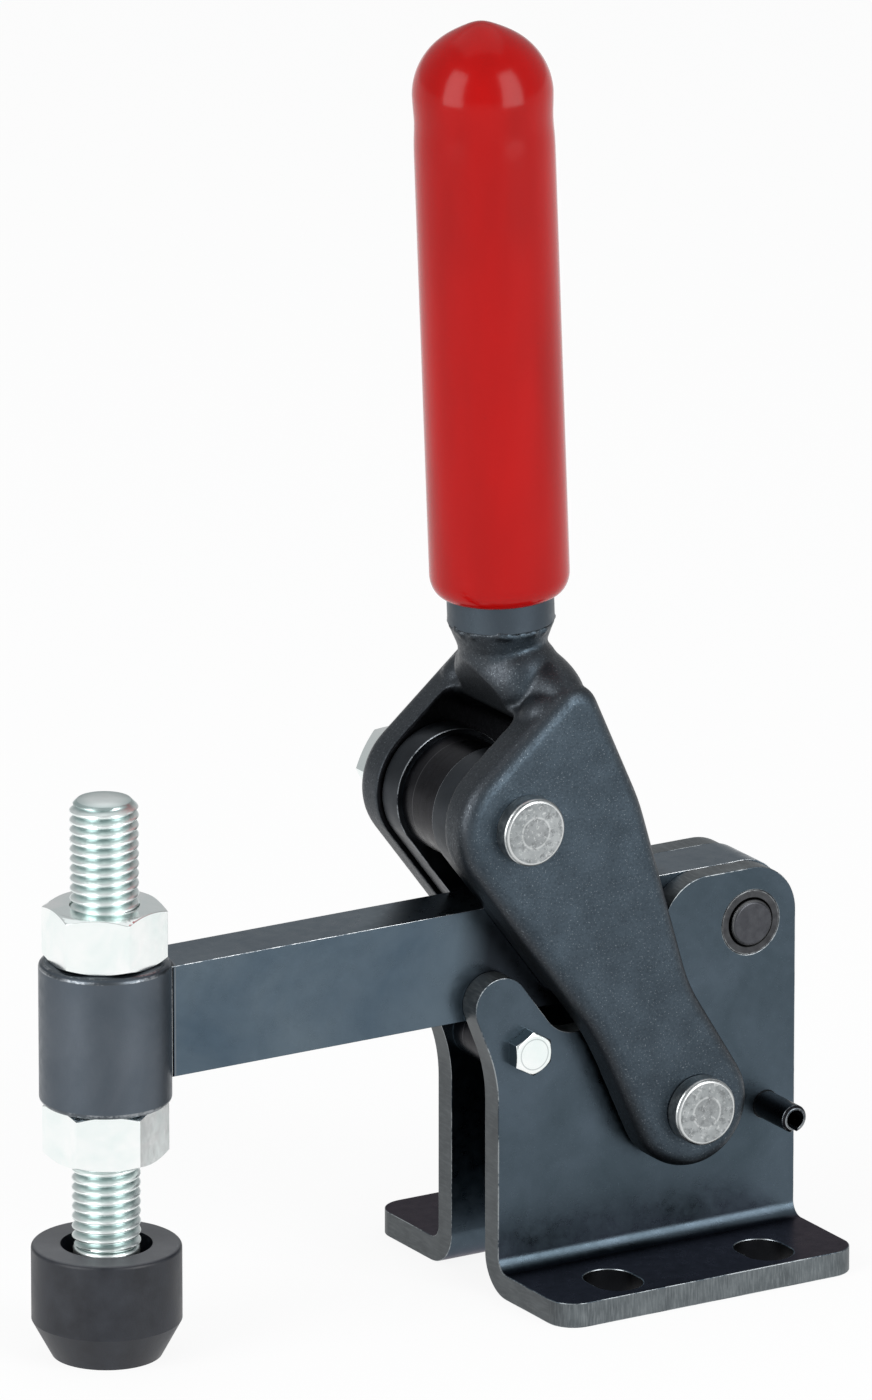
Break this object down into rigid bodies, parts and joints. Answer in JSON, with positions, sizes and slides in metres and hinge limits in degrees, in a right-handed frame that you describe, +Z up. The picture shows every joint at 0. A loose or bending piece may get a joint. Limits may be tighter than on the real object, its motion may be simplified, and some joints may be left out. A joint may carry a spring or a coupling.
{
  "type": "toggle clamp",
  "caption": "Push-down hold-down toggle clamp with an upright dipped handle, solid steel arm, capped screw spindle and flanged base plates.",
  "frame": {"origin": "middle of the four flange slots, on the underside of the flanges, between the two plates", "axes": "+X to the rear, away from the arm; -X along the arm to the spindle; +Y to the far side, where the pin nuts are; +Z up from the bench, along the handle"},
  "size_m": [0.1472, 0.064, 0.2279],
  "materials": {
    "blued_plate": "black-oxide plate with a blue-grey satin sheen and bright worn edges",
    "black_forging": "rough black forging, speckled",
    "black_arm": "smooth black oxide with a bright top edge",
    "bare_steel": "turned bare steel",
    "zinc_plate": "bright zinc plate, slightly greenish",
    "black_spring_steel": "black rolled spring steel",
    "black_rubber": "dull moulded rubber",
    "red_dip": "glossy dipped vinyl"
  },
  "bodies": {
    "base": {"near_base_plate": "blued_plate", "far_base_plate": "blued_plate", "near_arm_bush": "bare_steel", "far_arm_bush": "bare_steel", "handle_pivot_pin": "bare_steel", "handle_pivot_nut": "zinc_plate", "stop_bolt": "zinc_plate", "stop_sleeve": "bare_steel", "stop_nut": "zinc_plate", "spring_pin": "black_spring_steel"},
    "handle": {"fork": "black_forging", "handle_tube": "bare_steel", "grip": "red_dip", "link_pin": "bare_steel", "link_pin_nut": "zinc_plate"},
    "link": {"near_link_plate": "blued_plate", "far_link_plate": "blued_plate", "link_sleeve": "bare_steel", "near_toggle_pin_end": "bare_steel", "far_toggle_pin_end": "bare_steel"},
    "arm": {"arm_bar": "black_arm", "spindle_boss": "black_arm", "upper_spindle_nut": "zinc_plate", "lower_spindle_nut": "zinc_plate", "arm_pivot_pin": "bare_steel", "toggle_pin": "bare_steel"},
    "spindle": {"spindle": "zinc_plate", "spindle_cap": "black_rubber"}
  },
  "joints": [
    {"name": "handle_pivot", "type": "hinge", "parent": "base", "child": "handle", "pos_m": [0.005, 0, 0.031], "axis": [0, 1, 0], "range_deg": [0, 72]},
    {"name": "link_pivot", "type": "hinge", "parent": "handle", "child": "link", "pos_m": [-0.03, 0, 0.088], "axis": [0, 1, 0], "range_deg": [0, 70.85]},
    {"name": "arm_pivot", "type": "hinge", "parent": "base", "child": "arm", "pos_m": [0.0212, 0, 0.06], "axis": [0, 1, 0], "range_deg": [0, 84.25]},
    {"name": "spindle_adjust", "type": "slide", "parent": "arm", "child": "spindle", "axis": [0, 0, 1], "range_m": [-0.018, 0.01]}
  ],
  "couplings": [
    {"joint": "arm_pivot", "follows": "handle_pivot", "ratio": 1.1699},
    {"joint": "link_pivot", "follows": "handle_pivot", "ratio": 0.984}
  ]
}
